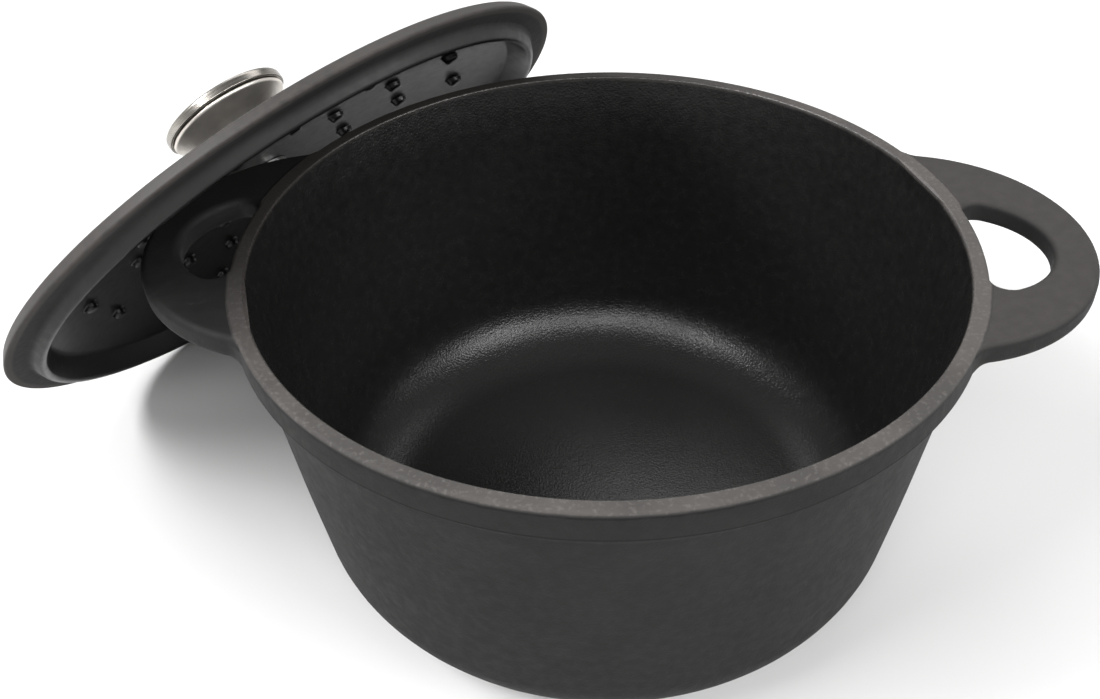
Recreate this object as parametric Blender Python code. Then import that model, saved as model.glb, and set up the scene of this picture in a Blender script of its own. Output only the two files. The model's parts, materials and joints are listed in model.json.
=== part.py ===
"""Cast iron casserole with its lid taken off and leant against the left handle.

Metres, Z up. The origin is the centre of the pot's flat base, on the table, and the
two cast handles lie along X. The lid and its knob are drawn about their own axis,
with the lid's seat face at height 0, and are then leant against the pot together.
"""
import math

import bmesh
import bpy
import numpy as np
from mathutils import Matrix
from mathutils.bvhtree import BVHTree

# Every touching pair of pieces keeps this gap.
GAP = 0.0003
TURN_STEPS = 64
SMALL_TURN_STEPS = 32
CORNER_STEPS = 2
LARGE_FILLET = 0.030
DISH_STEPS = 6

# Pot: one casting with a band round its mouth
POT_HEIGHT = 0.132
RIM_RADIUS = 0.130
RIM_WIDTH = 0.0052
RIM_OUTER_ROUND = 0.0016
RIM_INNER_ROUND = 0.0009
BAND_HEIGHT = 0.0110
BAND_STEP_HEIGHT = 0.0050
BAND_STEP_DEPTH = 0.0049
WALL_TAPER = 0.0159
WALL_BOW = 0.0006
WALL_THICKNESS = 0.0042
FLOOR_THICKNESS = 0.0050
BASE_FILLET = 0.0395

# Two loop handles, part of the pot casting. The right one reaches a little further.
RIGHT_REACH = 0.0388
RIGHT_ARC_RADIUS = 0.0591
RIGHT_BAR_WIDTH = 0.0148
RIGHT_SHIFT = 0.0009
RIGHT_HOLE_SHIFT = -0.0022
LEFT_REACH = 0.0340
LEFT_ARC_RADIUS = 0.0606
LEFT_BAR_WIDTH = 0.0130
LEFT_SHIFT = 0.0034
LEFT_HOLE_SHIFT = 0.0
HANDLE_ROOT_FILLET = 0.012
HANDLE_HOLE_RADIUS = 0.0272
HANDLE_HOLE_FILLET = 0.006
HANDLE_THICKNESS = 0.0090
HANDLE_DROP = 0.0003
HANDLE_ROUND = 0.0027

# Lid: one casting with a locating ring and basting nubs underneath
LID_RADIUS = 0.1304
LID_EDGE_HEIGHT = 0.0050
LID_EDGE_TAPER = 0.0030
LID_THICKNESS = 0.0046
LID_FLANGE_WIDTH = 0.0098
RING_DEPTH = 0.0052
RING_WIDTH = 0.0024
RING_DRAFT = 0.0022
RING_INNER_SLOPE = 0.0052
DISH_EDGE_DEPTH = 0.0046
DISH_DEPTH = 0.0205
DISH_CURVE = 2.5
LID_CORNER_ROUND = 0.0010
NUB_RADIUS = 0.0032
NUB_TIP_RADIUS = 0.0014
NUB_HEIGHT = 0.0028
NUB_RINGS = ((0.0385, 9, 0.916), (0.0639, 16, 0.0), (0.0893, 16, 0.0))

# Knob: a flared skirt under a spun cap, drawn down by a screw through the lid
KNOB_PAD_RADIUS = 0.016
KNOB_HEIGHT = 0.0282
KNOB_RADIUS = 0.0276
CAP_EDGE_HEIGHT = 0.0040
CAP_CROWN = 0.0014
CAP_THICKNESS = 0.0020
SKIRT_SHEET = 0.0010
SKIRT_FOOT_RADIUS = 0.0125
SKIRT_NECK_RADIUS = 0.0112
SKIRT_LIP = 0.0014
BOSS_RADIUS = 0.0060
THREAD_DEPTH = 0.0180
SCREW_RADIUS = 0.0030
SCREW_CLEARANCE = 0.0004
SCREW_HEAD_RADIUS = 0.0062
SCREW_HEAD_HEIGHT = 0.0034
SCREW_SLOT_WIDTH = 0.0014
SCREW_SLOT_DEPTH = 0.0014
WASHER_RADIUS = 0.0095
WASHER_THICKNESS = 0.0015

# How the lid leans: its underside faces the pot and looks partly down
LEAN_FACING = math.radians(-41.0)
LEAN_TILT = math.radians(39.7)
LEAN_SIDE_SHIFT = -0.0306
LID_SPIN = math.radians(2.9)


def clear_scene():
    for old in list(bpy.data.objects):
        bpy.data.objects.remove(old, do_unlink=True)


def finish(name, colour, roughness, metallic):
    """A plain material in the piece's own colour."""
    made = bpy.data.materials.new(name)
    made.use_nodes = True
    shader = made.node_tree.nodes["Principled BSDF"]
    shader.inputs["Base Color"].default_value = (*colour, 1.0)
    shader.inputs["Roughness"].default_value = roughness
    shader.inputs["Metallic"].default_value = metallic
    return made


def add_object(name, mesh_data, made_of):
    mesh = bpy.data.meshes.new(name)
    mesh_data.to_mesh(mesh)
    mesh_data.free()
    piece = bpy.data.objects.new(name, mesh)
    bpy.context.scene.collection.objects.link(piece)
    if made_of:
        mesh.materials.append(made_of)
    return piece


def shade(piece, angle=math.radians(35)):
    piece.data.shade_smooth()
    piece.data.set_sharp_from_angle(angle=angle)


def rounded(corners):
    """Straight runs between (x, y, radius) corners, each corner turned by an arc."""
    points = []
    for index, (x, y, radius) in enumerate(corners):
        here = np.array((x, y))
        last = index == len(corners) - 1
        if radius <= 0.0 or index == 0 or last:
            points.append(here)
            continue
        before = np.array(corners[index - 1][:2]) - here
        after = np.array(corners[index + 1][:2]) - here
        run_in = np.linalg.norm(before)
        run_out = np.linalg.norm(after)
        before = before / run_in
        after = after / run_out
        half_angle = 0.5 * math.acos(np.clip(before @ after, -1.0, 1.0))
        setback = min(radius / math.tan(half_angle), 0.48 * run_in, 0.48 * run_out)
        radius = setback * math.tan(half_angle)
        middle = here + (before + after) / np.linalg.norm(before + after) * radius / math.sin(half_angle)
        start = here + before * setback - middle
        sweep = math.pi - 2.0 * half_angle
        turn = 1.0 if before[0] * after[1] - before[1] * after[0] < 0.0 else -1.0
        finer = 2.0 if radius > LARGE_FILLET else 1.0
        steps = max(2, math.ceil(finer * CORNER_STEPS * sweep / (0.5 * math.pi)))
        for step in range(steps + 1):
            angle = turn * sweep * step / steps
            points.append(middle + np.array((
                start[0] * math.cos(angle) - start[1] * math.sin(angle),
                start[0] * math.sin(angle) + start[1] * math.cos(angle))))
    return [(float(x), float(y)) for x, y in points]


def turned(name, outline, made_of=None, steps=TURN_STEPS, closed=False):
    """A solid turned about Z from an outline of (radius, height) points."""
    shape = bmesh.new()
    points = [shape.verts.new((radius, 0.0, height)) for radius, height in outline]
    pairs = list(zip(points, points[1:]))
    if closed:
        pairs.append((points[-1], points[0]))
    edges = [shape.edges.new(pair) for pair in pairs]
    bmesh.ops.spin(shape, geom=points + edges, cent=(0, 0, 0), axis=(0, 0, 1),
                   angle=2.0 * math.pi, steps=steps, use_merge=True)
    bmesh.ops.remove_doubles(shape, verts=shape.verts, dist=1e-6)
    bmesh.ops.recalc_face_normals(shape, faces=shape.faces)
    return add_object(name, shape, made_of)


def combine(piece, other, operation):
    """Join or cut with a real Boolean, then throw the other solid away."""
    modifier = piece.modifiers.new(operation.lower(), "BOOLEAN")
    modifier.operation = operation
    modifier.solver = "EXACT"
    modifier.object = other
    result = bmesh.new()
    result.from_object(piece, bpy.context.evaluated_depsgraph_get())
    piece.modifiers.remove(modifier)
    bmesh.ops.remove_doubles(result, verts=result.verts, dist=2e-6)
    bmesh.ops.dissolve_degenerate(result, edges=result.edges, dist=2e-6)
    result.to_mesh(piece.data)
    result.free()
    bpy.data.objects.remove(other, do_unlink=True)


def wall_corners(thickness, foot_height):
    """The wall from its foot to the step under the band, set in by a thickness."""
    top = POT_HEIGHT - BAND_HEIGHT - BAND_STEP_HEIGHT
    top_radius = RIM_RADIUS - BAND_STEP_DEPTH
    foot_radius = top_radius - WALL_TAPER * (1.0 - foot_height / top)
    middle = 0.5 * (top + foot_height)
    middle_radius = 0.5 * (top_radius + foot_radius) + WALL_BOW
    return [
        (foot_radius - thickness, foot_height, BASE_FILLET - thickness),
        (middle_radius - thickness, middle, 0.5),
        (top_radius - thickness, top, 0.5 * BAND_STEP_HEIGHT)]


def pot_outside():
    corners = [(0.0, 0.0, 0.0)]
    corners += wall_corners(0.0, 0.0)
    corners += [
        (RIM_RADIUS, POT_HEIGHT - BAND_HEIGHT, 0.4 * BAND_STEP_HEIGHT),
        (RIM_RADIUS, POT_HEIGHT, RIM_OUTER_ROUND),
        (0.0, POT_HEIGHT, 0.0)]
    return rounded(corners)


def pot_inside():
    """The cavity, carried on past the mouth so that it cuts clean through."""
    mouth_radius = RIM_RADIUS - RIM_WIDTH
    corners = [(0.0, FLOOR_THICKNESS, 0.0)]
    corners += wall_corners(WALL_THICKNESS, FLOOR_THICKNESS)
    corners += [
        (mouth_radius, POT_HEIGHT - RIM_INNER_ROUND, 0.0),
        (mouth_radius + 0.3 * RIM_INNER_ROUND, POT_HEIGHT - 0.3 * RIM_INNER_ROUND, 0.0),
        (mouth_radius + 1.3 * RIM_INNER_ROUND, POT_HEIGHT + 0.2 * RIM_INNER_ROUND, 0.0),
        (mouth_radius + 1.3 * RIM_INNER_ROUND, POT_HEIGHT + RIM_WIDTH, 0.0),
        (0.0, POT_HEIGHT + RIM_WIDTH, 0.0)]
    return rounded(corners)


def crossing(centre_x, reach, from_origin):
    """The point above X that is `reach` from (centre_x, 0) and `from_origin` from 0."""
    x = (from_origin ** 2 - reach ** 2 + centre_x ** 2) / (2.0 * centre_x)
    return np.array((x, math.sqrt(max(from_origin ** 2 - x ** 2, 0.0))))


def arc(centre, start, end, steps):
    """Points from start to end round a centre, the short way."""
    first = math.atan2(*(start - centre)[::-1])
    turn = math.atan2(*(end - centre)[::-1]) - first
    turn = (turn + math.pi) % (2.0 * math.pi) - math.pi
    radius = np.linalg.norm(start - centre)
    angles = [first + turn * step / steps for step in range(steps + 1)]
    return [centre + radius * np.array((math.cos(angle), math.sin(angle))) for angle in angles]


def handle_edge(tip_x, radius, fillet, bend):
    """One side of the handle in plan, from its upper root round to the lower one.

    bend is 1 for the outside, whose root fillet lies outside the arc, and -1 for
    the finger hole, whose corner fillet lies inside it.
    """
    centre = np.array((tip_x - radius, 0.0))
    corner = crossing(centre[0], radius + bend * fillet, RIM_RADIUS + fillet)
    on_arc = centre + (corner - centre) * radius / (radius + bend * fillet)
    on_rim = corner * RIM_RADIUS / (RIM_RADIUS + fillet)
    tip = np.array((tip_x, 0.0))
    upper = arc(corner, on_rim, on_arc, 4)[:-1] + arc(centre, on_arc, tip, 9)
    lower = [point * (1.0, -1.0) for point in upper[-2::-1]]
    inward = 0.9
    return [upper[0] * inward] + upper + lower + [lower[-1] * inward]


def handle(name, side, reach, arc_radius, bar_width, shifts):
    """A loop lofted from rounded sections between its outer edge and its hole.

    The two shifts move the whole loop, and then the hole alone, along Y.
    """
    tip_x = RIM_RADIUS + reach
    outer = handle_edge(tip_x, arc_radius, HANDLE_ROOT_FILLET, 1.0)
    inner = [point + (0.0, shifts[1]) for point in
             handle_edge(tip_x - bar_width, HANDLE_HOLE_RADIUS, HANDLE_HOLE_FILLET, -1.0)]
    top = POT_HEIGHT - HANDLE_DROP
    corner = min(HANDLE_ROUND, 0.45 * HANDLE_THICKNESS, 0.45 * bar_width)
    shape = bmesh.new()
    rings = []
    for out_point, in_point in zip(outer, inner):
        width = np.linalg.norm(out_point - in_point)
        along = (out_point - in_point) / width
        section = rounded([
            (0.5 * width, top, 0.0),
            (0.0, top, corner),
            (0.0, top - HANDLE_THICKNESS, corner),
            (width, top - HANDLE_THICKNESS, corner),
            (width, top, corner),
            (0.5 * width, top, 0.0)])[:-1]
        ring = []
        for across, height in section:
            place = in_point + along * across
            ring.append(shape.verts.new((side * place[0], place[1] + shifts[0], height)))
        rings.append(ring)
    for ring, following in zip(rings, rings[1:]):
        count = len(ring)
        for index in range(count):
            after = (index + 1) % count
            shape.faces.new((ring[index], ring[after], following[after], following[index]))
    shape.faces.new(rings[0])
    shape.faces.new(rings[-1])
    bmesh.ops.recalc_face_normals(shape, faces=shape.faces)
    return add_object(name, shape, None)


def make_pot():
    pot = turned("pot", pot_outside(), finish("cast_iron_pot", (0.030, 0.028, 0.028), 0.55, 0.6))
    right = handle("handle_right", 1.0, RIGHT_REACH, RIGHT_ARC_RADIUS, RIGHT_BAR_WIDTH,
                   (RIGHT_SHIFT, RIGHT_HOLE_SHIFT))
    left = handle("handle_left", -1.0, LEFT_REACH, LEFT_ARC_RADIUS, LEFT_BAR_WIDTH,
                  (LEFT_SHIFT, LEFT_HOLE_SHIFT))
    combine(pot, right, "UNION")
    combine(pot, left, "UNION")
    combine(pot, turned("cavity", pot_inside()), "DIFFERENCE")
    shade(pot)
    return pot


def dish_height(radius):
    """Height of the lid's underside above the seat face, a shallow dome."""
    edge = ring_inner_radius()
    return DISH_DEPTH - (DISH_DEPTH - DISH_EDGE_DEPTH) * (radius / edge) ** DISH_CURVE


def ring_outer_radius():
    return LID_RADIUS - LID_FLANGE_WIDTH


def ring_inner_radius():
    return ring_outer_radius() - RING_DRAFT - RING_WIDTH - RING_INNER_SLOPE


def lid_underside():
    """From the screw hole out to the edge of the seat face."""
    hole = SCREW_RADIUS + SCREW_CLEARANCE
    pad = WASHER_RADIUS + 2.0 * SCREW_CLEARANCE
    edge = ring_inner_radius()
    corners = [(hole, dish_height(pad), 0.0), (pad, dish_height(pad), 0.0)]
    for step in range(1, DISH_STEPS + 1):
        radius = pad + (edge - pad) * step / DISH_STEPS
        fillet = LID_CORNER_ROUND if step == DISH_STEPS else 0.0
        corners.append((radius, dish_height(radius), fillet))
    crest = ring_outer_radius() - RING_DRAFT
    corners += [
        (crest - RING_WIDTH, -RING_DEPTH, LID_CORNER_ROUND),
        (crest, -RING_DEPTH, LID_CORNER_ROUND),
        (ring_outer_radius(), 0.0, LID_CORNER_ROUND),
        (LID_RADIUS, 0.0, LID_CORNER_ROUND)]
    return corners


def lid_top():
    """From the edge in to the flat pad under the knob."""
    hole = SCREW_RADIUS + SCREW_CLEARANCE
    shoulder = ring_inner_radius()
    corners = [
        (LID_RADIUS - LID_EDGE_TAPER, LID_EDGE_HEIGHT, 2.0 * LID_CORNER_ROUND),
        (ring_outer_radius() - RING_DRAFT, LID_EDGE_HEIGHT + 0.2 * LID_THICKNESS, 3.0 * LID_CORNER_ROUND)]
    for step in range(DISH_STEPS):
        radius = shoulder + (KNOB_PAD_RADIUS - shoulder) * step / DISH_STEPS
        corners.append((radius, dish_height(radius) + LID_THICKNESS, 0.0))
    corners += [(KNOB_PAD_RADIUS, knob_seat(), 0.0), (hole, knob_seat(), 0.0)]
    return corners


def knob_seat():
    return dish_height(KNOB_PAD_RADIUS) + LID_THICKNESS


def nub_places():
    """Centres of the nubs under the lid, each ring turned by a share of its step."""
    places = []
    for radius, count, share in NUB_RINGS:
        for index in range(count):
            angle = 2.0 * math.pi * (index + share) / count
            places.append((radius * math.cos(angle), radius * math.sin(angle)))
    return places


def nubs(name):
    """All nubs as one set of blunt cones, sunk half their length into the lid."""
    shape = bmesh.new()
    for x, y in nub_places():
        base = dish_height(math.hypot(x, y))
        spread = NUB_RADIUS - NUB_TIP_RADIUS
        made = bmesh.ops.create_cone(shape, cap_ends=True, segments=8, radius1=NUB_TIP_RADIUS,
                                     radius2=NUB_RADIUS + spread, depth=2.0 * NUB_HEIGHT)
        bmesh.ops.translate(shape, vec=(x, y, base), verts=made["verts"])
    return add_object(name, shape, None)


def make_lid():
    outline = rounded(lid_underside() + lid_top())
    iron = finish("cast_iron_lid", (0.030, 0.028, 0.028), 0.45, 0.6)
    lid = turned("lid", outline, iron, closed=True)
    combine(lid, nubs("nubs"), "UNION")
    shade(lid)
    return lid


def sheet(line, thickness):
    """A closed outline whose outer side is the line, with the sheet on its left."""
    points = np.array(line)
    along = np.gradient(points, axis=0)
    along /= np.linalg.norm(along, axis=1)[:, None]
    other = points + thickness * np.stack((-along[:, 1], along[:, 0]), axis=1)
    return [tuple(map(float, point)) for point in (*points, *other[::-1])]


def skirt_top():
    return knob_seat() + KNOB_HEIGHT - CAP_EDGE_HEIGHT - CAP_CROWN


def skirt_outline():
    """A spun sheet from its flat foot, up the flare, to the lip under the cap."""
    foot = knob_seat() + GAP
    top = skirt_top()
    rise = top - foot
    lip = KNOB_RADIUS - SKIRT_LIP
    flare = lip - SKIRT_NECK_RADIUS
    return sheet(rounded([
        (SCREW_RADIUS + SCREW_CLEARANCE, foot, 0.0),
        (SKIRT_FOOT_RADIUS, foot, 1.6 * SKIRT_SHEET),
        (SKIRT_NECK_RADIUS, foot + 0.25 * rise, 0.5 * rise),
        (SKIRT_NECK_RADIUS + 0.30 * flare, foot + 0.62 * rise, rise),
        (lip, foot + 0.92 * rise, 0.2 * rise),
        (lip, top, 1.3 * SKIRT_SHEET),
        (lip - 4.0 * SKIRT_SHEET, top, 0.0)]), SKIRT_SHEET)


def cap_under():
    return skirt_top() + GAP + CAP_EDGE_HEIGHT + CAP_CROWN - CAP_THICKNESS


def cap_outline():
    """A spun disc with a rolled edge that stands on the skirt's lip."""
    bottom = skirt_top() + GAP
    edge_top = bottom + CAP_EDGE_HEIGHT
    edge_inner = KNOB_RADIUS - 1.6 * CAP_THICKNESS
    crown = [(KNOB_RADIUS * share, edge_top + CAP_CROWN * (1.0 - share ** 2), 0.0)
             for share in (0.9, 0.72, 0.54, 0.36, 0.18)]
    return rounded([
        (0.0, cap_under(), 0.0),
        (BOSS_RADIUS + 2.0 * GAP, cap_under(), 0.0),
        (edge_inner, cap_under() - 0.75 * CAP_CROWN, 0.0),
        (edge_inner, bottom, 0.0),
        (KNOB_RADIUS, bottom, 0.3 * CAP_EDGE_HEIGHT),
        (KNOB_RADIUS, edge_top, 0.45 * CAP_EDGE_HEIGHT)]
        + crown + [(0.0, edge_top + CAP_CROWN, 0.0)])


def boss_foot():
    return knob_seat() + SKIRT_SHEET + 2.0 * GAP


def thread_end():
    """Where the screw's tip stops inside the boss."""
    return min(boss_foot() + THREAD_DEPTH, cap_under() - 2.0 * SCREW_RADIUS)


def boss_outline():
    """The threaded post inside the knob, bored from below."""
    top = cap_under() - GAP
    bore = SCREW_RADIUS + SCREW_CLEARANCE
    depth = thread_end() + SCREW_CLEARANCE
    return [(0.0, depth), (bore, depth), (bore, boss_foot()), (BOSS_RADIUS, boss_foot()),
            (BOSS_RADIUS, top), (0.0, top)]


def washer_top():
    return dish_height(WASHER_RADIUS + 2.0 * SCREW_CLEARANCE) - GAP


def washer_outline():
    hole = SCREW_RADIUS + SCREW_CLEARANCE
    top = washer_top()
    bottom = top - WASHER_THICKNESS
    return [(hole, bottom), (WASHER_RADIUS, bottom), (WASHER_RADIUS, top), (hole, top)]


def make_screw(steel):
    """A pan head screw from below, whose shank ends inside the boss."""
    under_head = washer_top() - WASHER_THICKNESS - GAP
    head = under_head - SCREW_HEAD_HEIGHT
    tip = thread_end()
    outline = rounded([
        (0.0, head, 0.0),
        (SCREW_HEAD_RADIUS, head, 0.5 * SCREW_HEAD_HEIGHT),
        (SCREW_HEAD_RADIUS, under_head, 0.0),
        (SCREW_RADIUS, under_head, 0.0),
        (SCREW_RADIUS, tip - 0.3 * SCREW_RADIUS, 0.0),
        (0.7 * SCREW_RADIUS, tip, 0.0),
        (0.0, tip, 0.0)])
    screw = turned("lid_screw", outline, steel, steps=SMALL_TURN_STEPS)
    slot = bmesh.new()
    bmesh.ops.create_cube(slot, size=1.0)
    size = (3.0 * SCREW_HEAD_RADIUS, SCREW_SLOT_WIDTH, 2.0 * SCREW_SLOT_DEPTH)
    bmesh.ops.scale(slot, vec=size, verts=slot.verts)
    bmesh.ops.translate(slot, vec=(0.0, 0.0, head), verts=slot.verts)
    combine(screw, add_object("slot", slot, None), "DIFFERENCE")
    return screw


def make_knob():
    steel = finish("knob_steel", (0.55, 0.54, 0.52), 0.28, 1.0)
    brushed = finish("knob_brushed_steel", (0.30, 0.29, 0.28), 0.42, 1.0)
    zinc = finish("zinc_plated_steel", (0.45, 0.45, 0.44), 0.40, 1.0)
    screw = make_screw(zinc)
    skirt = turned("knob_skirt", skirt_outline(), brushed, SMALL_TURN_STEPS, closed=True)
    cap = turned("knob_cap", cap_outline(), steel, SMALL_TURN_STEPS)
    boss = turned("knob_boss", boss_outline(), zinc, SMALL_TURN_STEPS)
    washer = turned("screw_washer", washer_outline(), zinc, SMALL_TURN_STEPS, closed=True)
    pieces = [skirt, cap, boss, screw, washer]
    for piece in pieces:
        shade(piece)
    return pieces


def lean_axes():
    """Up the lid's slope, across it, and out along the knob."""
    facing = np.array((math.cos(LEAN_FACING), math.sin(LEAN_FACING)))
    slope = np.array((*(facing * math.sin(LEAN_TILT)), math.cos(LEAN_TILT)))
    knob = np.array((*(-facing * math.cos(LEAN_TILT)), math.sin(LEAN_TILT)))
    return slope, np.cross(knob, slope), knob


def placed(centre):
    """The lid's own axes, standing at a centre."""
    matrix = Matrix.Identity(4)
    for column, axis in enumerate((*lean_axes(), centre)):
        for row in range(3):
            matrix[row][column] = axis[row]
    return matrix @ Matrix.Rotation(LID_SPIN, 4, "Z")


def surface_tree(piece, matrix):
    points = [matrix @ vertex.co for vertex in piece.data.vertices]
    faces = [tuple(face.vertices) for face in piece.data.polygons]
    return BVHTree.FromPolygons(points, faces)


def lean_centre(pot, lid):
    """Stand the lid on the table and push it at the pot until it all but touches."""
    edge = np.array(rounded(lid_underside() + lid_top()))
    lowest = (edge[:, 1] * math.sin(LEAN_TILT) - edge[:, 0] * math.cos(LEAN_TILT)).min()
    facing = np.array((math.cos(LEAN_FACING), math.sin(LEAN_FACING), 0.0))
    sideways = np.array((-facing[1], facing[0], 0.0))
    base = sideways * LEAN_SIDE_SHIFT + np.array((0.0, 0.0, GAP - lowest))
    pot_tree = surface_tree(pot, pot.matrix_world)
    away = -(RIM_RADIUS + LEFT_REACH + LID_RADIUS + POT_HEIGHT)
    touching = -RIM_RADIUS
    for _ in range(24):
        middle = 0.5 * (away + touching)
        if surface_tree(lid, placed(base + facing * middle)).overlap(pot_tree):
            touching = middle
        else:
            away = middle
    return base + facing * (away - GAP / math.cos(LEAN_TILT))


def lean(pieces, centre):
    """Hang the lid's pieces on an empty whose Z runs out along the knob."""
    frame = bpy.data.objects.new("lid_axis", None)
    bpy.context.scene.collection.objects.link(frame)
    frame.matrix_world = placed(centre)
    for piece in pieces:
        piece.parent = frame


def main():
    clear_scene()
    pot = make_pot()
    lid = make_lid()
    lean([lid] + make_knob(), lean_centre(pot, lid))


main()
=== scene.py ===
import json
import math

import bpy
import numpy as np
from mathutils import Matrix, Vector


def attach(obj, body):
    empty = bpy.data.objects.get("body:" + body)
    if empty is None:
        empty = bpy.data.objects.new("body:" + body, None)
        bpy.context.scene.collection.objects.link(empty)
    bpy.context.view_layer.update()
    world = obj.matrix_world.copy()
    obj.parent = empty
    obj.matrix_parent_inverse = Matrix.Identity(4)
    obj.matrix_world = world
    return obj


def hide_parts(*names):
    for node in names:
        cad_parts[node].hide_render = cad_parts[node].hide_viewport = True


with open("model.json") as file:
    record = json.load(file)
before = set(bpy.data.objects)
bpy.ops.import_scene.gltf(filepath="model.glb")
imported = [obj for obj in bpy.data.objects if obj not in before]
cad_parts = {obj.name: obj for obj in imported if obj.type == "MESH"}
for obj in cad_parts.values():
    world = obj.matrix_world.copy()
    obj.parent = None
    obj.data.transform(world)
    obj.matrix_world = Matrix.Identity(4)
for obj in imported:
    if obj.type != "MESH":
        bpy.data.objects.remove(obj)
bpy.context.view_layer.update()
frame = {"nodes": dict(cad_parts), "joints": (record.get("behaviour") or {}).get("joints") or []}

# The camera stands in front of the pot and above its rim, and looks down into the bowl at about
# 39 degrees, with the knob at the upper left and the right handle close to the picture's edge.
bpy.ops.object.select_all(action='DESELECT')
bpy.ops.object.camera_add(
    location=(0, -0.354812, 0.373102),
    rotation=(math.radians(50.71473), math.radians(1.54111), math.radians(2.00643)))
camera = bpy.context.object
camera.name = "camera"
camera.data.sensor_fit = 'HORIZONTAL'
camera.data.sensor_width = 36
camera.data.lens = 39.8677
bpy.context.scene.camera = camera


# The table is a plain pale sheet with no edge in the picture. The backdrop is bright at the
# horizon and dimmer overhead, and soft lamps stand all round, turned to the middle of the pot.
bpy.ops.mesh.primitive_plane_add(size=3.4, location=(0, 0.2, -0.0002))
table = bpy.context.object
table.name = "table"
white_sheet = bpy.data.materials.new("white_sheet")
white_sheet.use_nodes = True
paper = white_sheet.node_tree.nodes["Principled BSDF"]
paper.inputs["Base Color"].default_value = (0.64, 0.64, 0.64, 1)
paper.inputs["Roughness"].default_value = 0.9
paper.inputs["Specular IOR Level"].default_value = 0.1
table.data.materials.append(white_sheet)

room = bpy.data.worlds.new("room")
bpy.context.scene.world = room
room.use_nodes = True
room_nodes, room_links = room.node_tree.nodes, room.node_tree.links
backdrop = room_nodes["Background"]
backdrop.inputs["Color"].default_value = (1.0, 0.99, 0.98, 1)
toward = room_nodes.new('ShaderNodeTexCoord')
rise = room_nodes.new('ShaderNodeSeparateXYZ')
fade = room_nodes.new('ShaderNodeMapRange')
fade_start, fade_end, horizon_light, overhead_light = 0.02, 0.33, 0.95, 0.22
for socket, amount in (("From Min", fade_start), ("From Max", fade_end),
                       ("To Min", horizon_light), ("To Max", overhead_light)):
    fade.inputs[socket].default_value = amount
room_links.new(toward.outputs["Generated"], rise.inputs[0])
room_links.new(rise.outputs["Z"], fade.inputs["Value"])
room_links.new(fade.outputs["Result"], backdrop.inputs["Strength"])
bpy.context.scene.view_settings.view_transform = 'Standard'

lit_middle = Vector((0, 0, 0.05))
for name, place, width, depth, watts in (
        ("lamp_front", (0.0, -1.35, 1.3), 1.6, 0.34, 18),
        ("lamp_left_front", (-1.15, -0.75, 1.5), 0.7, 0.34, 20),
        ("lamp_left", (-1.45, -0.25, 1.6), 0.7, 0.34, 24),
        ("lamp_left_back", (-1.4, 0.45, 1.3), 0.5, 0.34, 10),
        ("lamp_right_front", (1.2, -0.9, 1.17), 0.8, 0.4, 14),
        ("lamp_right", (1.6, -0.25, 0.85), 0.7, 0.34, 14),
        ("panel_back", (0.15, 1.5, 1.7), 2.6, 1.0, 22)):
    facing = (lit_middle - Vector(place)).to_track_quat('-Z', 'Y').to_euler()
    bpy.ops.object.light_add(type='AREA', location=place, rotation=facing)
    lamp = bpy.context.object
    lamp.name = name
    lamp.data.shape = 'RECTANGLE'
    lamp.data.size = width
    lamp.data.size_y = depth
    lamp.data.energy = watts


# The pot is one iron casting: a flat base with a wide fillet, a wall that leans out, a thicker
# band round the mouth, and a loop handle cast on to the band at each side. It is poured in sand,
# its rim is ground flat, and the whole is seasoned with oil to a soft black.
def choose(piece):
    """Makes a piece the only selected one."""
    bpy.ops.object.select_all(action='DESELECT')
    bpy.context.view_layer.objects.active = piece
    piece.select_set(True)


def pick(piece, wanted):
    """Selects the points of a piece whose place passes a test, and goes to edit mode."""
    choose(piece)
    bpy.ops.object.mode_set(mode='EDIT')
    bpy.ops.mesh.select_mode(type='VERT')
    bpy.ops.mesh.select_all(action='DESELECT')
    bpy.ops.object.mode_set(mode='OBJECT')
    for point in piece.data.vertices:
        point.select = bool(wanted(point.co))
    bpy.ops.object.mode_set(mode='EDIT')


def half_section(name, corners):
    """Draws half a section from (radius, height, corner radius) in mm, and rounds its corners."""
    widest_setback = 0.48
    wide_corner, wide_step, tight_step = 0.01, 5, 14
    bpy.ops.object.select_all(action='DESELECT')
    bpy.ops.mesh.primitive_plane_add(size=0.001, location=(0, 0, 0))
    piece = bpy.context.object
    piece.name = name
    piece.data.name = name
    places = [Vector((radius, 0, height)) / 1000 for radius, height, rounding in corners]
    bpy.ops.object.mode_set(mode='EDIT')
    bpy.ops.mesh.merge(type='CENTER')
    bpy.ops.transform.translate(value=places[0])
    for here, following in zip(places, places[1:]):
        bpy.ops.mesh.extrude_region_move(TRANSFORM_OT_translate={"value": following - here})
    bpy.ops.object.mode_set(mode='OBJECT')
    for index in range(1, len(corners) - 1):
        rounding = corners[index][2] / 1000
        if rounding == 0:
            continue
        place = places[index]
        before = places[index - 1] - place
        after = places[index + 1] - place
        turn = math.pi - before.angle(after)
        setback = min(rounding * math.tan(turn / 2),
                      widest_setback * before.length, widest_setback * after.length)
        step = wide_step if rounding > wide_corner else tight_step
        pick(piece, lambda co: (co - place).length < 2e-6)
        bpy.ops.mesh.bevel(affect='VERTICES', offset=setback, clamp_overlap=False,
                           segments=max(3, math.ceil(math.degrees(turn) / step)))
        bpy.ops.object.mode_set(mode='OBJECT')
    return piece


def turn_on_lathe(piece, steps):
    """Spins a half section once round the upright axis and closes its seam and poles."""
    pick(piece, lambda co: True)
    bpy.ops.mesh.remove_doubles(threshold=1e-6)
    bpy.ops.mesh.spin(steps=steps, angle=2 * math.pi, center=(0, 0, 0), axis=(0, 0, 1))
    bpy.ops.mesh.select_all(action='SELECT')
    bpy.ops.mesh.remove_doubles(threshold=2e-6)
    bpy.ops.mesh.normals_make_consistent(inside=False)
    bpy.ops.object.mode_set(mode='OBJECT')
    return piece


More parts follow.
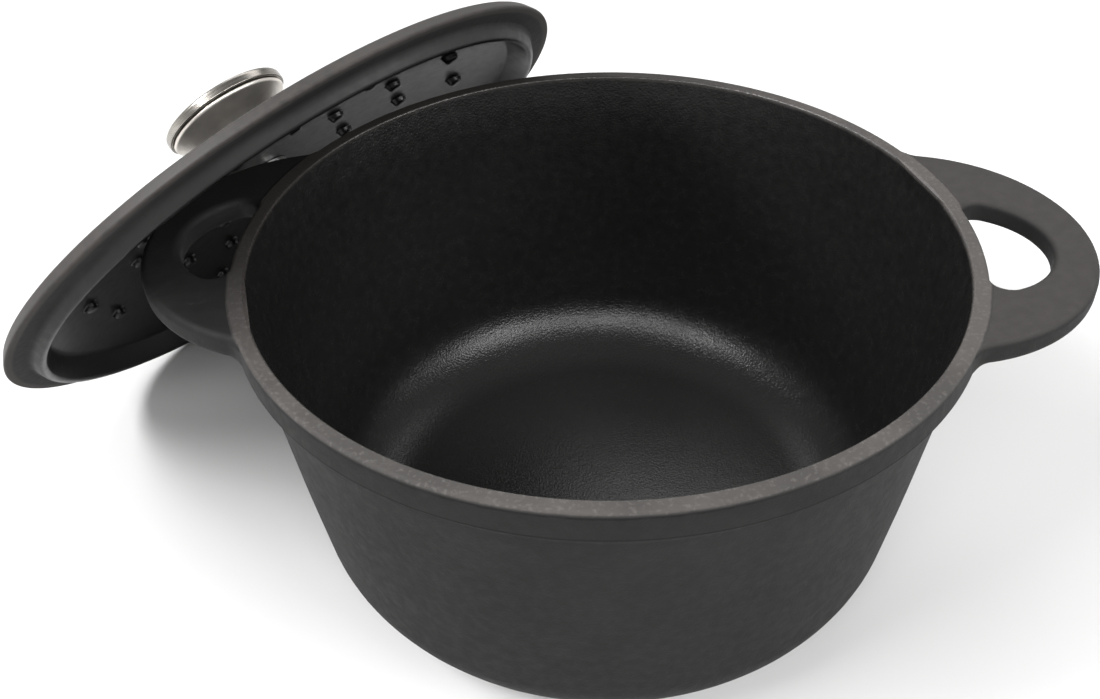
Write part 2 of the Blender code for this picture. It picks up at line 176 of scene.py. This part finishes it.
def add_solid(piece, other):
    """Joins another solid to a piece and clears the other one."""
    choose(piece)
    joint = piece.modifiers.new("joint", 'BOOLEAN')
    joint.operation = 'UNION'
    joint.solver = 'EXACT'
    joint.object = other
    bpy.ops.object.modifier_apply(modifier=joint.name)
    bpy.data.objects.remove(other)


def smooth(piece):
    """Smooth shading with crisp edges, and flat faces kept flat."""
    choose(piece)
    bpy.ops.object.shade_smooth_by_angle(angle=math.radians(30))
    weights = piece.modifiers.new("weights", 'WEIGHTED_NORMAL')
    weights.keep_sharp = True
    bpy.ops.object.modifier_apply(modifier=weights.name)


rim_radius = 130
casting_steps = 288
pot = turn_on_lathe(half_section("pot_casting", [
    (0, 0, 0),
    (109.2, 0, 39.5),         # the wide fillet of the base
    (117.75, 58, 500),        # the wall's slight bow
    (125.1, 116, 6.0),        # the hollow under the band
    (rim_radius, 121, 0.6),
    (rim_radius, 132, 1.6),   # the ground rim, from its outer to its inner edge
    (124.66, 132, 0.9),
    (120.9, 116, 200),
    (113.89, 60.5, 500),
    (105.69, 5, 35.3),        # the bowl's fillet, down to a floor 5 mm thick
    (0, 5, 0)]), casting_steps)

# Each loop is a flat bar with rounded edges. It widens into the wall in two fillets, meets the
# rim in a low ground land, and has a small cast fillet under its root. Sizes are in mm.
outer_root_fillet, hole_root_fillet = 12.0, 6.0
bar_top, bar_bottom, bar_rounding, bar_steps = 131.7, 122.7, 2.7, 36
flat_steps, rounding_steps = 11, 6
root_reaches = [127.3, 128.4, 129.2, 129.9, 130.3, 130.5, 130.7, 130.9, 131.3, 131.9, 132.5]
buried_reach = 125.9
land_reach, land_blend, land_rise = 130.75, 0.4, 0.28
cast_fillet, cast_fillet_reach, cast_fillet_top = 3.5, 133.5, 125.85


def handle_half(way, arc_centre, arc_radius, hole_centre, hole_radius):
    """Stations from a root in the wall to the tip, each as (outer edge, hole edge) points.

    An edge point is a centre, a direction and a radius that grows or shrinks with the inset.
    """
    edges = []
    for centre, radius, fillet, bend in (
            (arc_centre, arc_radius, outer_root_fillet, 1),
            (hole_centre, hole_radius, hole_root_fillet, -1)):
        centre = np.array(centre)
        span = np.linalg.norm(centre)
        far = rim_radius + fillet
        along = (far ** 2 - (radius + bend * fillet) ** 2 + span ** 2) / (2 * span)
        sideways = np.array((-centre[1], centre[0])) / span
        corner = centre / span * along + way * math.sqrt(far ** 2 - along ** 2) * sideways
        first = math.atan2(-corner[1], -corner[0])
        spoke = (corner - centre) * bend
        last = math.atan2(-spoke[1], -spoke[0])
        sweep = (last - first + math.pi) % (2 * math.pi) - math.pi
        arm = math.atan2(*((corner - centre)[::-1]))
        edges.append({"corner": corner, "fillet": fillet, "first": first, "sweep": sweep,
                      "centre": centre, "radius": radius, "arm": arm, "bend": bend, "far": far})
    outer, hole = edges
    far, run = outer["far"], outer["fillet"] + bar_rounding
    end = math.sqrt(far ** 2 + run ** 2 - 2 * far * run * math.cos(outer["sweep"]))
    stations = []
    reaches = [reach for reach in root_reaches if reach < end - 0.1] + [end]
    for reach in reaches:
        pair = []
        for edge in edges:
            far, run = edge["far"], edge["fillet"] + bar_rounding
            cosine = (far ** 2 + run ** 2 - reach ** 2) / (2 * far * run)
            turn = math.copysign(math.acos(min(1.0, cosine)), edge["sweep"])
            pair.append((edge["corner"], edge["first"] + turn, edge["fillet"], 1))
        stations.append(pair)
    starts = (abs(outer["sweep"]), abs(stations[-1][1][1] - hole["first"]))
    for step in range(1, bar_steps + 1):
        pair = []
        for edge, start in zip(edges, starts):
            fillet_left = edge["fillet"] * (abs(edge["sweep"]) - start)
            arc_length = edge["radius"] * abs(edge["arm"])
            place = (fillet_left + arc_length) * step / bar_steps
            if place < fillet_left:
                turn = math.copysign(start + place / edge["fillet"], edge["sweep"])
                pair.append((edge["corner"], edge["first"] + turn, edge["fillet"], 1))
            else:
                angle = edge["arm"] * (1 - (place - fillet_left) / arc_length)
                pair.append((edge["centre"], angle, edge["radius"], -edge["bend"]))
        stations.append(pair)
    return stations


def loop_handle(name, side, *arcs):
    """A cast loop as a tube of rounded sections, whose two ends stand inside the wall."""
    quarter = [math.radians(90 / rounding_steps * step) for step in range(rounding_steps + 1)]
    rounded = [(bar_rounding * (1 - math.sin(turn)), bar_rounding * (1 - math.cos(turn)))
               for turn in quarter]
    levels = [(inset, bar_top - drop) for inset, drop in rounded]
    levels += [(0.0, cast_fillet_top)]
    levels += [(inset, bar_bottom + rise) for inset, rise in rounded[::-1]]
    shares = [step / flat_steps for step in range(1, flat_steps)]
    rings = []
    for way in (1, -1):
        half = []
        for station in handle_half(way, *arcs):
            sides = []
            for centre, angle, radius, grow in station:
                direction = np.array((math.cos(angle), math.sin(angle)))
                sides.append([np.append(centre + direction * (radius + grow * inset), height)
                              for inset, height in levels])
            half.append(sides)
        buried = [[np.append(point[:2] * buried_reach / np.linalg.norm(point[:2]), point[2])
                   for point in edge] for edge in half[0]]
        rings.append([buried] + half)
    tube = []
    for outer, inner in rings[0] + rings[1][-2::-1]:
        ring = list(outer)
        flats = ((outer[-1], inner[-1], bar_bottom), (inner[0], outer[0], bar_top))
        for one, other, height in flats:
            reach, other_reach = np.hypot(*one[:2]), np.hypot(*other[:2])
            angle, other_angle = math.atan2(one[1], one[0]), math.atan2(other[1], other[0])
            for share in shares:
                here_reach = reach + (other_reach - reach) * share
                here_angle = angle + (other_angle - angle) * share
                ring.append(np.array((here_reach * math.cos(here_angle),
                                      here_reach * math.sin(here_angle), height)))
            if height == bar_bottom:
                ring += inner[::-1]
        tube.append(ring + [ring[0]])
    tube = np.array(tube)
    reach = np.hypot(tube[:, :, 0], tube[:, :, 1])
    level = tube[:, :, 2].copy()
    land = np.clip((land_reach - reach) / land_blend, 0, 1)
    land *= np.clip((level - (bar_top - bar_rounding)) / bar_rounding, 0, 1)
    short = np.clip(cast_fillet_reach - reach, 0, cast_fillet)
    fillet = cast_fillet - np.sqrt(cast_fillet ** 2 - short ** 2)
    fillet *= np.clip((cast_fillet_top - level) / (cast_fillet_top - bar_bottom), 0, 1)
    tube[:, :, 2] = level + land_rise * land - fillet
    tube[:, :, 0] *= side
    rows_last, columns_last = tube.shape[0] - 1, tube.shape[1] - 1
    bpy.ops.object.select_all(action='DESELECT')
    bpy.ops.mesh.primitive_grid_add(x_subdivisions=rows_last, y_subdivisions=columns_last,
                                    size=1, location=(0, 0, 0))
    handle = bpy.context.object
    handle.name = name
    spots = np.array([point.co[:2] for point in handle.data.vertices])
    rows = np.rint((spots[:, 0] + 0.5) * rows_last).astype(int)
    columns = np.rint((spots[:, 1] + 0.5) * columns_last).astype(int)
    handle.data.vertices.foreach_set("co", (tube[rows, columns] / 1000).ravel())
    pick(handle, lambda co: True)
    bpy.ops.mesh.remove_doubles(threshold=1e-6)
    end_reach = (buried_reach + 0.01) / 1000
    for way in (1, -1):
        bpy.ops.object.mode_set(mode='OBJECT')
        pick(handle, lambda co: co.y * way > 0 and math.hypot(co.x, co.y) < end_reach)
        bpy.ops.mesh.edge_face_add()
    bpy.ops.mesh.select_all(action='SELECT')
    bpy.ops.mesh.normals_make_consistent(inside=False)
    bpy.ops.object.mode_set(mode='OBJECT')
    return handle


add_solid(pot, loop_handle("right_loop", 1, (109.7, 0.9), 59.1, (126.8, -1.3), 27.2))
add_solid(pot, loop_handle("left_loop", -1, (103.4, 3.4), 60.6, (123.8, 3.4), 27.2))
smooth(pot)


def new_finish(name):
    """A finish, with its node tree and its shader."""
    finish = bpy.data.materials.new(name)
    finish.use_nodes = True
    return finish, finish.node_tree, finish.node_tree.nodes["Principled BSDF"]


def lay(tree, kind, feeds, **settings):
    """One node of a finish with its settings, and with values or other nodes fed into it."""
    made = tree.nodes.new(kind)
    for key, value in settings.items():
        setattr(made, key, value)
    for socket, feed in feeds.items():
        if isinstance(feed, bpy.types.NodeSocket):
            tree.links.new(feed, made.inputs[socket])
        else:
            made.inputs[socket].default_value = feed
    return made


def sums(tree, operation, first, second):
    """The result of one sum on two feeds."""
    return lay(tree, 'ShaderNodeMath', {0: first, 1: second}, operation=operation).outputs[0]


def ramp(tree, feed, low, high, start=0.0, end=1.0):
    """Carries a feed from one range of values to another, held at both ends."""
    return lay(tree, 'ShaderNodeMapRange', {
        "Value": feed, "From Min": low, "From Max": high,
        "To Min": start, "To Max": end}).outputs["Result"]


def switch(tree, share, outer, inner):
    """One of two feeds: the first where the share is 0, the second where it is 1."""
    return sums(tree, 'ADD', sums(tree, 'MULTIPLY', inner, share),
                sums(tree, 'MULTIPLY', outer, sums(tree, 'SUBTRACT', 1.0, share)))


def blend_tones(tree, share, first, second):
    """Two colours mixed by a share."""
    made = lay(tree, 'ShaderNodeMix', {"Factor": share}, data_type='RGBA')
    for socket, tone in ((6, first), (7, second)):
        if isinstance(tone, bpy.types.NodeSocket):
            tree.links.new(tone, made.inputs[socket])
        else:
            made.inputs[socket].default_value = (*tone, 1)
    return made.outputs[2]


def speckle(tree, place, scale, detail=2.0, roughness=0.5):
    """Cloudy noise of a given fineness per metre."""
    return lay(tree, 'ShaderNodeTexNoise', {
        "Vector": place, "Scale": scale, "Detail": detail, "Roughness": roughness}).outputs["Fac"]


def reach_and_height(tree, place):
    """How far a place is from the upright axis, and how high."""
    level = lay(tree, 'ShaderNodeVectorMath', {0: place, 1: (1.0, 1.0, 0.0)}, operation='MULTIPLY')
    reach = lay(tree, 'ShaderNodeVectorMath', {0: level.outputs[0]}, operation='LENGTH')
    return reach.outputs["Value"], lay(tree, 'ShaderNodeSeparateXYZ', {0: place}).outputs["Z"]


def black_iron(tree, place):
    """Slow and fine clouds, and the tone of seasoned iron that they give, with a few flecks."""
    cloud = speckle(tree, place, 28.0, 4.0)
    fine_cloud = speckle(tree, place, 260.0, 4.0, 0.6)
    skin = blend_tones(tree, ramp(tree, cloud, 0.35, 0.68),
                       (0.0070, 0.0068, 0.0067), (0.0110, 0.0106, 0.0104))
    flecks = ramp(tree, fine_cloud, 0.62, 0.75, 0.0, 0.4)
    return cloud, fine_cloud, blend_tones(tree, flecks, skin, (0.019, 0.0180, 0.0174))


def cast_bump(tree, shader, place, grain_share, strength, depth):
    """The relief of a sand-cast skin: fine grain on slow waves."""
    grain = sums(tree, 'MULTIPLY', speckle(tree, place, 1150.0), grain_share)
    waves = sums(tree, 'MULTIPLY', speckle(tree, place, 70.0, 1.0), 0.8)
    bump = lay(tree, 'ShaderNodeBump', {
        "Height": sums(tree, 'ADD', grain, waves), "Strength": strength, "Distance": depth})
    tree.links.new(bump.outputs["Normal"], shader.inputs["Normal"])


def dress(piece, *finishes):
    """Gives a piece its finishes in place of what it had."""
    piece.data.materials.clear()
    for finish in finishes:
        piece.data.materials.append(finish)


pot_iron, tree, shader = new_finish("seasoned_iron_pot")
shader.inputs["Specular IOR Level"].default_value = 0.21
place = lay(tree, 'ShaderNodeTexCoord', {}).outputs["Object"]
reach, height = reach_and_height(tree, place)
cloud, fine_cloud, skin = black_iron(tree, place)

# The bowl's side of the metal starts at the middle of the wall, of the fillet and of the floor.
wall_lean, wall_foot = 0.1355, 0.1073
bend_centre, bend_height, bend_radius, bend_top = 0.07515, 0.0399, 0.0374, 0.0380
wall_middle = sums(tree, 'ADD', sums(tree, 'MULTIPLY', height, wall_lean), wall_foot)
past_bend = sums(tree, 'MAXIMUM', sums(tree, 'SUBTRACT', reach, bend_centre), 0.0)
under_bend = sums(tree, 'MAXIMUM', sums(tree, 'SUBTRACT', bend_height, height), 0.0)
bend_place = lay(tree, 'ShaderNodeCombineXYZ', {0: past_bend, 1: under_bend}).outputs[0]
bend_reach = lay(tree, 'ShaderNodeVectorMath', {0: bend_place}, operation='LENGTH').outputs["Value"]
in_bend = sums(tree, 'MAXIMUM', sums(tree, 'LESS_THAN', bend_reach, bend_radius),
               sums(tree, 'GREATER_THAN', height, bend_top))
inside = sums(tree, 'MULTIPLY', sums(tree, 'LESS_THAN', reach, wall_middle), in_bend)
outside = sums(tree, 'SUBTRACT', 1.0, inside)

# The outside is painted darker towards the foot: painted shade low on the wall, near the table.
painted_foot_shade = ramp(tree, height, 0.0, 0.11, 0.55, 0.0)
skin = blend_tones(tree, painted_foot_shade, skin, (0.0015, 0.0015, 0.0015))
oiled = blend_tones(tree, ramp(tree, fine_cloud, 0.3, 0.7),
                    (0.0070, 0.0069, 0.0068), (0.0108, 0.0106, 0.0104))
# The bowl's floor is painted lighter than its wall: a painted pool of the light that falls in
# through the mouth.
painted_floor_light = ramp(tree, height, 0.006, 0.022, 0.8, 0.0)
oiled = blend_tones(tree, painted_floor_light, oiled, (0.030, 0.0295, 0.0290))
skin = blend_tones(tree, inside, skin, oiled)

# The rim is ground bright, and darker on the lid's side, a painted shadow of the leaning lid; a
# thin dark line under its outer edge is a painted reflection.
wander = sums(tree, 'MULTIPLY', sums(tree, 'SUBTRACT', fine_cloud, 0.5), 0.0012)
rim_height = sums(tree, 'ADD', height, sums(tree, 'MULTIPLY', wander, 0.6))
ground = sums(tree, 'MULTIPLY',
              ramp(tree, sums(tree, 'ADD', reach, wander), 0.1298, 0.1309, 1.0, 0.0),
              ramp(tree, rim_height, 0.1304, 0.1312))
ground_tone = blend_tones(tree, ramp(tree, cloud, 0.4, 0.6),
                          (0.047, 0.044, 0.042), (0.066, 0.061, 0.058))
rim_flecks = ramp(tree, speckle(tree, place, 620.0, 3.0, 0.6), 0.53, 0.68, 0.0, 0.5)
ground_tone = blend_tones(tree, rim_flecks, ground_tone, (0.110, 0.104, 0.100))
# Painted shadow of the lid: the ground rim darkens on the side the lid leans over.
lid_shadow_side = lay(tree, 'ShaderNodeVectorMath', {0: place, 1: (-0.66, 0.75, 0.0)},
               operation='DOT_PRODUCT').outputs["Value"]
ground_tone = blend_tones(tree, ramp(tree, lid_shadow_side, 0.0, 0.09, 0.0, 0.8), ground_tone,
                          (0.016, 0.0135, 0.0125))
skin = blend_tones(tree, ground, skin, ground_tone)
# Painted reflection: a thin dark line just under the rim's outer edge, on the outside only.
rim_line_height = sums(tree, 'ADD', height, wander)
painted_rim_line = sums(tree, 'MULTIPLY', ramp(tree, rim_line_height, 0.1292, 0.1298),
                ramp(tree, rim_line_height, 0.1302, 0.1307, 1.0, 0.0))
painted_rim_line = sums(tree, 'MULTIPLY', painted_rim_line, sums(tree, 'LESS_THAN', reach, 0.1304))
skin = blend_tones(tree, sums(tree, 'MULTIPLY', painted_rim_line, outside), skin, (0.003, 0.003, 0.003))

# The tops of the handles are a little lighter, partly wear and partly painted light from above; the
# left handle's top keeps the dark tone, a painted shadow of the lid over it.
rightward = lay(tree, 'ShaderNodeSeparateXYZ', {0: place}).outputs["X"]
handle_top_wear_light_and_lid_shade = sums(tree, 'MULTIPLY', sums(tree, 'SUBTRACT', 1.0, ground),
               ramp(tree, height, 0.1300, 0.1314))
handle_top_wear_light_and_lid_shade = sums(tree, 'MULTIPLY', handle_top_wear_light_and_lid_shade, ramp(tree, rightward, -0.12, -0.02))
handle_top_wear_and_light_tone = blend_tones(tree, ramp(tree, fine_cloud, 0.35, 0.65),
                           (0.0300, 0.0276, 0.0267), (0.0370, 0.0342, 0.0331))
skin = blend_tones(tree, handle_top_wear_light_and_lid_shade, skin, handle_top_wear_and_light_tone)
tree.links.new(skin, shader.inputs["Base Color"])

step_share = sums(tree, 'MULTIPLY', ramp(tree, height, 0.1150, 0.1170),
                  ramp(tree, height, 0.1212, 0.1218, 1.0, 0.0))
outside_gloss = sums(tree, 'ADD', ramp(tree, fine_cloud, 0.3, 0.7, 0.62, 0.74),
                     sums(tree, 'MULTIPLY', step_share, 0.35))
inside_gloss = ramp(tree, fine_cloud, 0.3, 0.7, 0.22, 0.29)
tree.links.new(switch(tree, inside, outside_gloss, inside_gloss), shader.inputs["Roughness"])
cast_bump(tree, shader, place, ramp(tree, inside, 0.0, 1.0, 0.55, 1.0), 0.8, 0.00024)

# The bowl keeps more of the oil than the outside, so its faces take a glossier copy.
bowl_iron = pot_iron.copy()
bowl_iron.name = "oiled_iron_bowl"
bowl_iron.node_tree.nodes[shader.name].inputs["Specular IOR Level"].default_value = 0.38
dress(pot, pot_iron, bowl_iron)
for face in pot.data.polygons:
    middle = face.center
    face_reach = math.hypot(middle.x, middle.y)
    bend = math.hypot(max(face_reach - bend_centre, 0), max(bend_height - middle.z, 0))
    in_wall = face_reach < wall_lean * middle.z + wall_foot
    face.material_index = 1 if in_wall and (bend < bend_radius or middle.z > bend_top) else 0
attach(pot, "pot_body")
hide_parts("pot")


# The lid is the second iron casting, domed a little, with a flat edge that sits on the rim, a
# locating ring just inside the mouth, and three rings of small nubs that drip water back.
# It leans on the left handle, knob outwards, with its lower edge on the table.
screw_hole, well_radius, pad_radius = 3.4, 10.3, 16
dish_radius, lid_wall, ring_depth = 110.8, 4.6, 5.2
dish_depth, dish_fall, dish_power = 20.5, 15.9, 2.5
under_steps, top_steps = 40, 36


def dish_height(radius):
    """Height in mm of the lid's underside over its seat face."""
    return dish_depth - dish_fall * (radius / dish_radius) ** dish_power


under_curve = [well_radius + (dish_radius - well_radius) * step / under_steps
               for step in range(1, under_steps)]
top_curve = [dish_radius - (dish_radius - pad_radius) * step / top_steps
             for step in range(top_steps)]
well_height = dish_height(well_radius)
pad_height = dish_height(pad_radius) + lid_wall
lid = turn_on_lathe(half_section("lid_casting", [
    (screw_hole, well_height, 0), (well_radius, well_height, 0.8),
    *[(radius, dish_height(radius), 0) for radius in under_curve],
    (dish_radius, 4.6, 15.0), (116.0, -ring_depth, 1.9), (118.4, -ring_depth, 1.7),
    (120.6, 0, 1.6), (130.4, 0, 1.0), (127.4, 5.0, 2.0), (118.4, 5.92, 4.0),
    *[(radius, dish_height(radius) + lid_wall, 0) for radius in top_curve],
    (pad_radius, pad_height, 0), (screw_hole, pad_height, 0),
    (screw_hole, well_height, 0)]), casting_steps)

nub_drop = 2.8
first_nub = turn_on_lathe(half_section("nub", [
    (0, 1.2, 0), (4.7, 1.2, 0), (4.7, 0.25, 0), (3.4, 0.0, 1.2),
    (2.7, -nub_drop, 2.1), (0, -nub_drop, 0)]), 24)
nub_shape = np.array([tuple(point.co) for point in first_nub.data.vertices]) * 1000
nubs = []
for ring_radius, count, share in ((38.5, 9, 0.916), (63.9, 16, 0), (89.3, 16, 0)):
    for index in range(count):
        angle = 2 * math.pi * (index + share) / count
        nub = bpy.data.objects.new("nub", first_nub.data.copy())
        bpy.context.collection.objects.link(nub)
        spots = nub_shape.copy()
        spots[:, 0] += ring_radius * math.cos(angle)
        spots[:, 1] += ring_radius * math.sin(angle)
        under = dish_height(np.hypot(spots[:, 0], spots[:, 1]))
        hang = np.clip(-nub_shape[:, 2] / nub_drop, 0, 1)
        spots[:, 2] += under * (1 - hang) + dish_height(ring_radius) * hang
        nub.data.vertices.foreach_set("co", (spots / 1000).ravel())
        nub.data.update()
        nubs.append(nub)
bpy.data.objects.remove(first_nub)
bpy.ops.object.select_all(action='DESELECT')
for nub in nubs:
    nub.select_set(True)
bpy.context.view_layer.objects.active = nubs[0]
bpy.ops.object.join()
add_solid(lid, nubs[0])
smooth(lid)

# The lean is read from the casting's model: the knob's axis from the joint, the seat face from
# the lid's lowest point along that axis, and the centre from the washer. The nubs set the turn.
lid_turn = 2.9
knob_axis = Vector(frame["joints"][0]["axis"]).normalized()
up_slope = (Vector((0, 0, 1)) - knob_axis * knob_axis.z).normalized()
across = knob_axis.cross(up_slope)
cast_lid = [point.co for point in frame["nodes"]["lid"].data.vertices]
seat_plane = min(point.dot(knob_axis) for point in cast_lid) + ring_depth / 1000
washer_points = [point.co for point in frame["nodes"]["screw_washer"].data.vertices]
hub = sum(washer_points, Vector()) / len(washer_points)
lean = Matrix((up_slope, across, knob_axis)).transposed().to_4x4()
lean.translation = hub + knob_axis * (seat_plane - hub.dot(knob_axis))
lean = lean @ Matrix.Rotation(math.radians(lid_turn), 4, 'Z')
unlean = lean.inverted()


def lean_over(piece):
    """Puts a piece that was turned upright where the leaning lid carries it."""
    piece.data.transform(lean)
    piece.data.update()


lean_over(lid)


def lid_place(tree):
    """Object coordinates measured from the lid's own centre, with Z along the knob's axis."""
    place = lay(tree, 'ShaderNodeTexCoord', {}).outputs["Object"]
    return lay(tree, 'ShaderNodeMapping', {
        "Vector": place, "Location": unlean.translation, "Rotation": unlean.to_euler()},
        vector_type='POINT').outputs["Vector"]


lid_iron, tree, shader = new_finish("seasoned_iron_lid")
shader.inputs["Specular IOR Level"].default_value = 0.34
place = lid_place(tree)
reach, height = reach_and_height(tree, place)
cloud, fine_cloud, skin = black_iron(tree, place)
# The lid's edge wall is lighter all round: partly wear, partly painted light where the edge faces
# the lamps.
edge_wear_and_light = sums(tree, 'MULTIPLY', ramp(tree, reach, 0.1262, 0.1275),
                 ramp(tree, fine_cloud, 0.3, 0.6, 0.5, 1.0))
skin = blend_tones(tree, edge_wear_and_light, skin, (0.037, 0.0330, 0.0310))

# The underside is what lies inside the ring and below the middle of the dish's wall.
middle_height, middle_fall = 0.0228, 3.93
dish_middle = sums(tree, 'SUBTRACT', middle_height, sums(
    tree, 'MULTIPLY', sums(tree, 'POWER', reach, dish_power), middle_fall))
under_share = sums(tree, 'MULTIPLY', ramp(tree, reach, 0.1175, 0.1185, 1.0, 0.0),
                   sums(tree, 'LESS_THAN', height, dish_middle))
# The underside is painted near black: painted shade under the leaning lid.
skin = blend_tones(tree, under_share, skin, (0.0030, 0.0029, 0.0028))
tree.links.new(skin, shader.inputs["Base Color"])
seat_share = sums(tree, 'MULTIPLY', ramp(tree, reach, 0.1195, 0.1205),
                  sums(tree, 'LESS_THAN', height, 0.0006))
outside_gloss = sums(tree, 'ADD', ramp(tree, fine_cloud, 0.3, 0.7, 0.50, 0.62),
                     sums(tree, 'MULTIPLY', seat_share, 0.3))
under_gloss = ramp(tree, fine_cloud, 0.3, 0.7, 0.29, 0.37)
tree.links.new(switch(tree, under_share, outside_gloss, under_gloss), shader.inputs["Roughness"])
cast_bump(tree, shader, place, 0.6, 0.3, 0.00018)
dress(lid, lid_iron)
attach(lid, "lid_body")
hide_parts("lid")


# The knob's skirt is a trumpet of thin stainless sheet, spun to shape and left with a fine
# turned grain. Its foot stands on the lid's pad and its lip carries the cap.
skirt_foot, skirt_lip, sheet_thickness, knob_steps = 25.27, 47.77, 0.001, 192
skirt = half_section("knob_skirt_spun", [
    (screw_hole, skirt_foot, 0), (12.5, skirt_foot, 1.6), (11.2, 30.9, 9.0), (15.7, 39.2, 18.0),
    (26.2, 46.4, 5.0), (26.4, skirt_lip, 0.5), (22.2, skirt_lip, 0)])
turn_on_lathe(skirt, knob_steps)
steel_wall = skirt.modifiers.new("wall", 'SOLIDIFY')
steel_wall.thickness = sheet_thickness
flare = [face for face in skirt.data.polygons if 0.030 < face.center.z < 0.038]
outward = sum(face.normal.dot(Vector((face.center.x, face.center.y, 0))) for face in flare)
steel_wall.offset = -1 if outward > 0 else 1
bpy.ops.object.modifier_apply(modifier=steel_wall.name)
smooth(skirt)
lean_over(skirt)


def turned_steel(name, tone, roughness, ring_depth):
    """Steel with fine rings left by the polishing wheel."""
    finish, tree, shader = new_finish(name)
    place = lid_place(tree)
    reach, height = reach_and_height(tree, place)
    ring_place = lay(tree, 'ShaderNodeCombineXYZ', {0: reach, 1: height}).outputs[0]
    rings = speckle(tree, ring_place, 2600.0, 2.0, 0.6)
    cloud = speckle(tree, place, 120.0, 3.0)
    shader.inputs["Metallic"].default_value = 1.0
    darker = tuple(0.82 * part for part in tone)
    shade = blend_tones(tree, ramp(tree, cloud, 0.35, 0.65), tone, darker)
    tree.links.new(shade, shader.inputs["Base Color"])
    gloss = ramp(tree, rings, 0.3, 0.7, roughness - 0.05, roughness + 0.07)
    tree.links.new(gloss, shader.inputs["Roughness"])
    bump = lay(tree, 'ShaderNodeBump', {
        "Height": rings, "Strength": ring_depth, "Distance": 0.00004})
    tree.links.new(bump.outputs["Normal"], shader.inputs["Normal"])
    return finish


dress(skirt, turned_steel("spun_skirt_steel", (0.88, 0.83, 0.77), 0.40, 0.5))
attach(skirt, "lid_body")
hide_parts("knob_skirt")


# The cap is a pressed steel disc with a bright rolled edge, a little domed on top. It closes
# the skirt, and the boss inside is fixed to its underside.
cap_under, cap_edge, cap_radius = 51.47, 48.07, 27.6
cap = half_section("knob_cap_pressed", [
    (0, cap_under, 0), (6.6, cap_under, 0), (24.4, 50.42, 0), (24.4, cap_edge, 0.4),
    (cap_radius, cap_edge, 0.6), (cap_radius, 52.07, 2.2), (24.84, 52.336, 0),
    (19.87, 52.744, 0), (14.9, 53.06, 0), (9.94, 53.29, 0), (4.97, 53.42, 0), (0, 53.47, 0)])
turn_on_lathe(cap, knob_steps)
smooth(cap)
lean_over(cap)
dress(cap, turned_steel("rolled_cap_steel", (0.38, 0.36, 0.33), 0.27, 0.35))
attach(cap, "lid_body")
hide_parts("knob_cap")


# A zinc-plated screw comes up through the lid with a washer under its head, and pulls the
# threaded boss, the skirt and the cap tight. These three keep their shapes from the casting's
# model and take a plated finish.
plated = turned_steel("plated_zinc", (0.48, 0.48, 0.47), 0.38, 0.6)
for name in ("knob_boss", "lid_screw", "screw_washer"):
    dress(frame["nodes"][name], plated)
